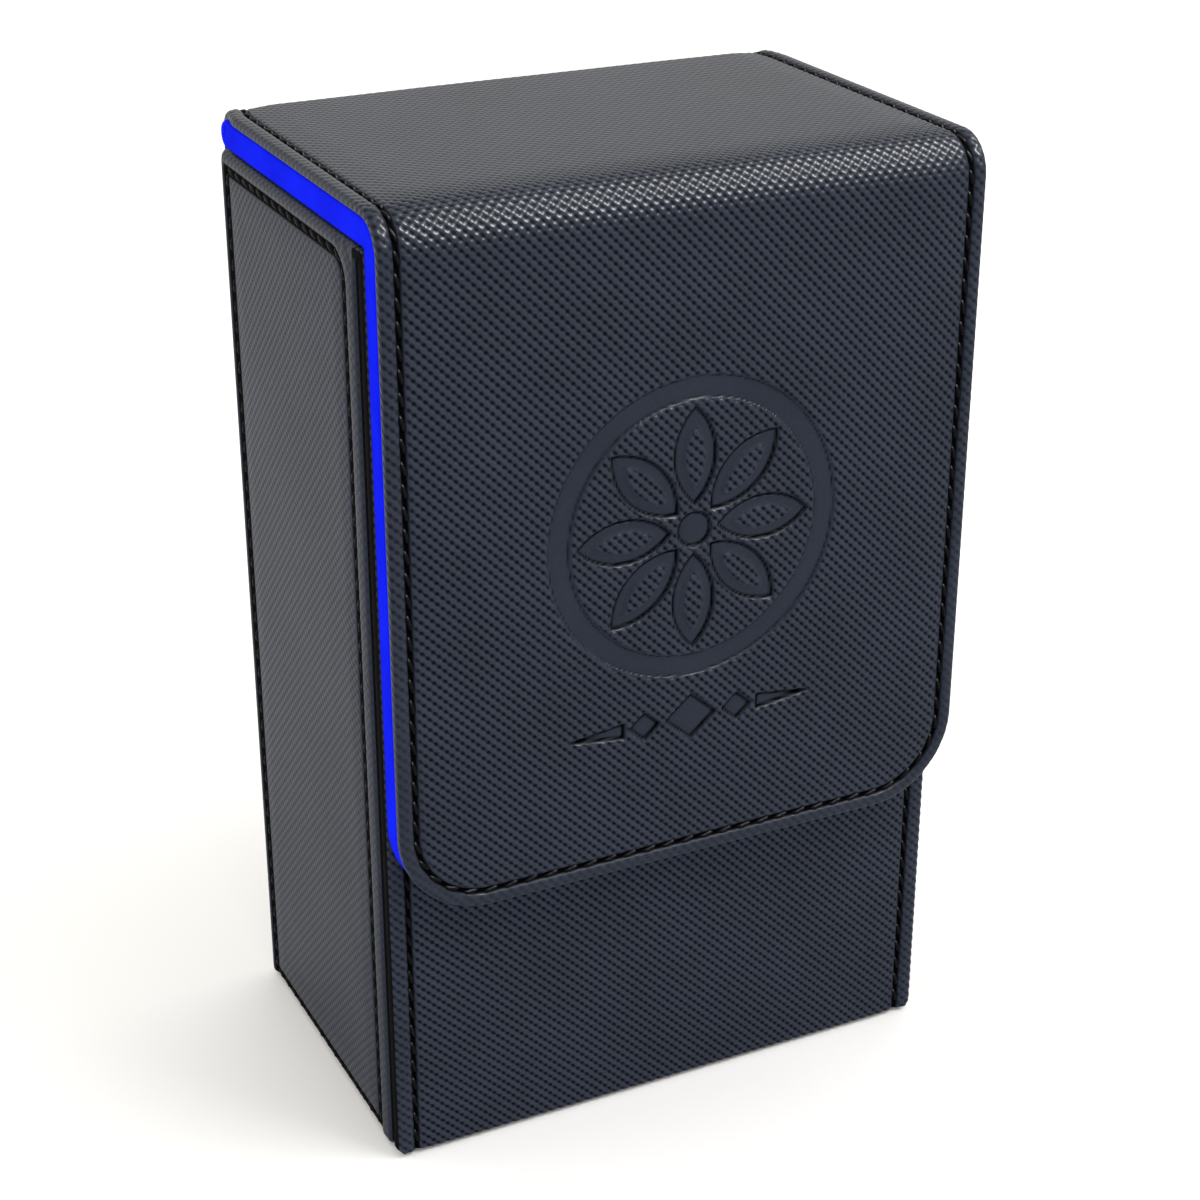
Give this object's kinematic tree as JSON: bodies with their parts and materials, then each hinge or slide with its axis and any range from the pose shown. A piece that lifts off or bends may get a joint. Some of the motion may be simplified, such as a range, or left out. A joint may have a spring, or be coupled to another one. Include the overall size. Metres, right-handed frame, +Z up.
{
  "type": "card deck box",
  "caption": "Upright flip-top card deck box in black embossed leather cloth with a blue lined flap that folds over the top and front and closes with magnets.",
  "frame": {"origin": "middle of the box body's base, on the surface it stands on", "axes": "+Z up, front face towards -Y, +X to the right as seen from the front"},
  "size_m": [0.0804, 0.0565, 0.1301],
  "materials": {
    "leather_cloth": "satin, embossed with a fine diagonal lattice",
    "lining": "matt microfibre",
    "thread": "waxed polyester thread",
    "greyboard": "matt, uncoated",
    "foam": "matt closed-cell foam",
    "magnet": "nickel plated"
  },
  "bodies": {
    "body": {"bottom_board": "greyboard", "front_board": "greyboard", "back_board": "greyboard", "left_board": "greyboard", "right_board": "greyboard", "bottom_cover": "leather_cloth", "front_cover": "leather_cloth", "back_cover": "leather_cloth", "left_cover": "leather_cloth", "right_cover": "leather_cloth", "back_panel": "leather_cloth", "floor_lining": "lining", "front_lining": "lining", "back_lining": "lining", "left_lining": "lining", "right_lining": "lining", "body_magnets": "magnet", "front_stitching": "thread", "left_stitching": "thread", "right_stitching": "thread", "back_stitching": "thread", "hinge_strip": "leather_cloth"},
    "lid": {"lid_cover": "leather_cloth", "lid_foam": "foam", "lid_board": "greyboard", "lid_lining": "lining", "lid_stitching": "thread", "crease_cover": "leather_cloth", "crease_lining": "lining", "crease_stitching": "thread"},
    "flap": {"flap_cover": "leather_cloth", "flap_foam": "foam", "flap_board": "greyboard", "flap_lining": "lining", "flap_magnets": "magnet", "flap_stitching": "thread"}
  },
  "joints": [
    {"name": "lid_hinge", "type": "hinge", "parent": "body", "child": "lid", "pos_m": [0, 0.0257, 0.1259], "axis": [-1, 0, 0], "range_deg": [0, 180], "deforming": ["hinge_strip"]},
    {"name": "flap_crease", "type": "hinge", "parent": "lid", "child": "flap", "pos_m": [0, -0.0275, 0.1272], "axis": [-1, 0, 0], "range_deg": [0, 90], "deforming": ["crease_cover", "crease_lining", "crease_stitching"]}
  ]
}
